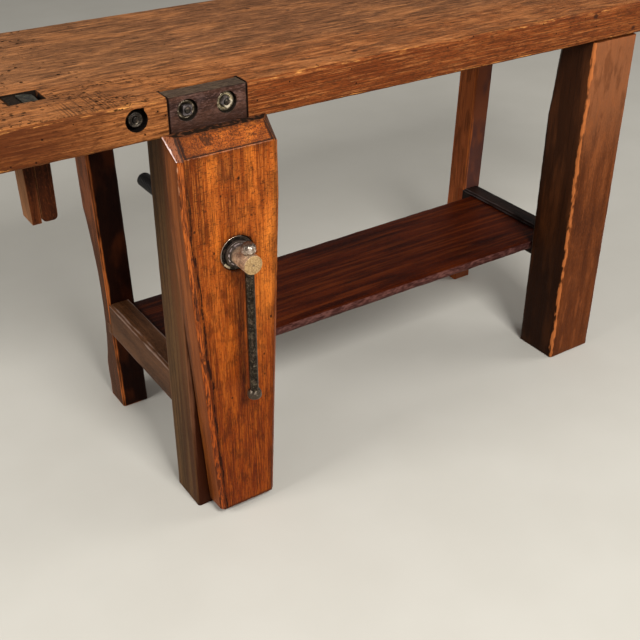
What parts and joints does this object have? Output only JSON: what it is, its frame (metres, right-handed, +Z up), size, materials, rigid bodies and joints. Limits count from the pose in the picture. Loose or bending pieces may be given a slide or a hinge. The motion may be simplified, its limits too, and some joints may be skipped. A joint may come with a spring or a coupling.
{
  "type": "joiner's workbench",
  "caption": "Old joiner's workbench: thick slab top on splayed legs, low plank shelf, and a leg vise with a tapered wooden chop, iron screw and sliding bar.",
  "frame": {"origin": "on the floor, under the centre of the whole bench with its vise screw", "axes": "+X along the bench to the right as the user at the vise sees it, +Y from the user to the back, +Z up"},
  "size_m": [1.8, 0.58, 0.8],
  "materials": {
    "bench_pine": "worn golden brown, oiled, open grain",
    "dark_hardwood": "dense dark hardwood, waxed",
    "leg_timber": "dark stained timber, dull wax",
    "rear_leg_timber": "dark stained timber with a natural edge",
    "rail_timber": "dark timber, rubbed arrises",
    "shelf_mahogany": "reddish brown plank, streaked, satin",
    "chop_timber": "amber orange varnish, dark pores",
    "peg_wood": "plain hardwood peg",
    "stop_wood": "hardwood, worn",
    "forged_iron": "blackened, worn bright on high spots",
    "screw_steel": "old turned steel, browned",
    "nut_steel": "dull grey steel",
    "washer_brass": "dull brassy plating",
    "nut_iron": "dark grey casting"
  },
  "bodies": {
    "bench": {"top_slab": "bench_pine", "jaw_block": "dark_hardwood", "tie_bolts": "nut_steel", "bolt_washers": "washer_brass", "square_nuts": "nut_steel", "round_nut": "nut_iron", "front_left_leg": "leg_timber", "front_right_leg": "leg_timber", "rear_left_leg": "rear_leg_timber", "rear_right_leg": "rear_leg_timber", "left_rail": "rail_timber", "right_rail": "rail_timber", "shelf": "shelf_mahogany", "vise_nut": "nut_iron", "nut_screws": "nut_steel"},
    "chop_body": {"chop": "chop_timber", "parallel_guide": "leg_timber", "guide_peg": "peg_wood", "garter_key": "peg_wood", "screw_collar": "nut_iron"},
    "screw_body": {"vise_screw": "screw_steel"},
    "bar_body": {"tommy_bar": "forged_iron", "bar_end_knob": "forged_iron"},
    "pin_body": {"guide_pin": "forged_iron"},
    "stop_body": {"planing_stop": "stop_wood", "stop_plate": "nut_steel", "stop_plate_screw": "nut_iron"},
    "wedge_body": {"stop_wedge": "stop_wood"}
  },
  "joints": [
    {"name": "chop_slide", "type": "slide", "parent": "bench", "child": "chop_body", "axis": [0, -1, 0], "range_m": [0, 0.094]},
    {"name": "screw_turn", "type": "hinge", "parent": "chop_body", "child": "screw_body", "pos_m": [-0.432, 0, 0.539], "axis": [0, -1, 0], "range_deg": [0, 5630]},
    {"name": "bar_slide", "type": "slide", "parent": "screw_body", "child": "bar_body", "axis": [0, 0, 1], "range_m": [0, 0.23]},
    {"name": "pin_pull", "type": "slide", "parent": "chop_body", "child": "pin_body", "axis": [1, 0, 0], "range_m": [0, 0.045]},
    {"name": "stop_slide", "type": "slide", "parent": "bench", "child": "stop_body", "axis": [0, 0, 1], "range_m": [0, 0.07]},
    {"name": "wedge_slide", "type": "slide", "parent": "bench", "child": "wedge_body", "axis": [0, 0, 1], "range_m": [0, 0.07]}
  ],
  "couplings": [
    {"joint": "chop_slide", "follows": "screw_turn", "m_per_rad": 0.00095493}
  ]
}
